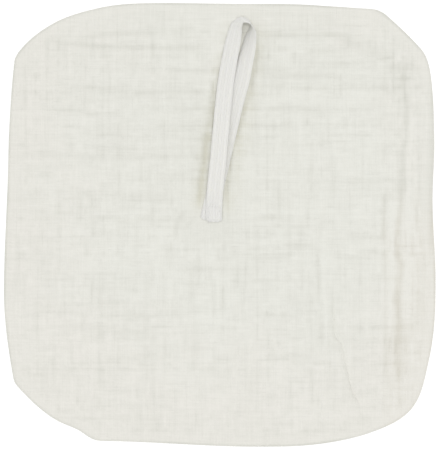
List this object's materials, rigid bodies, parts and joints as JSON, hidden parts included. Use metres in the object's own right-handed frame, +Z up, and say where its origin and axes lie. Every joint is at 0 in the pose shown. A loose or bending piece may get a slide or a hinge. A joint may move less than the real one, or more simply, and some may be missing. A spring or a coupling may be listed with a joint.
{
  "type": "muslin cloth with tape loop",
  "caption": "Square of crinkled off-white muslin with rounded corners, lying flat, with a white cotton tape sewn on at its middle as a crossed loop for tying on or hanging up.",
  "frame": {"origin": "on the surface the cloth lies on, under the middle of the cloth", "axes": "+Z up from the surface, +Y along the tape from its seam towards the loop's free bend, +X to the right with +Y away"},
  "size_m": [0.2936, 0.3018, 0.0136],
  "materials": {
    "cloth": "matt crinkled muslin weave",
    "tape": "matt narrow woven cotton tape"
  },
  "bodies": {
    "root": {"cloth": "cloth", "loop_tape": "tape"}
  },
  "joints": []
}
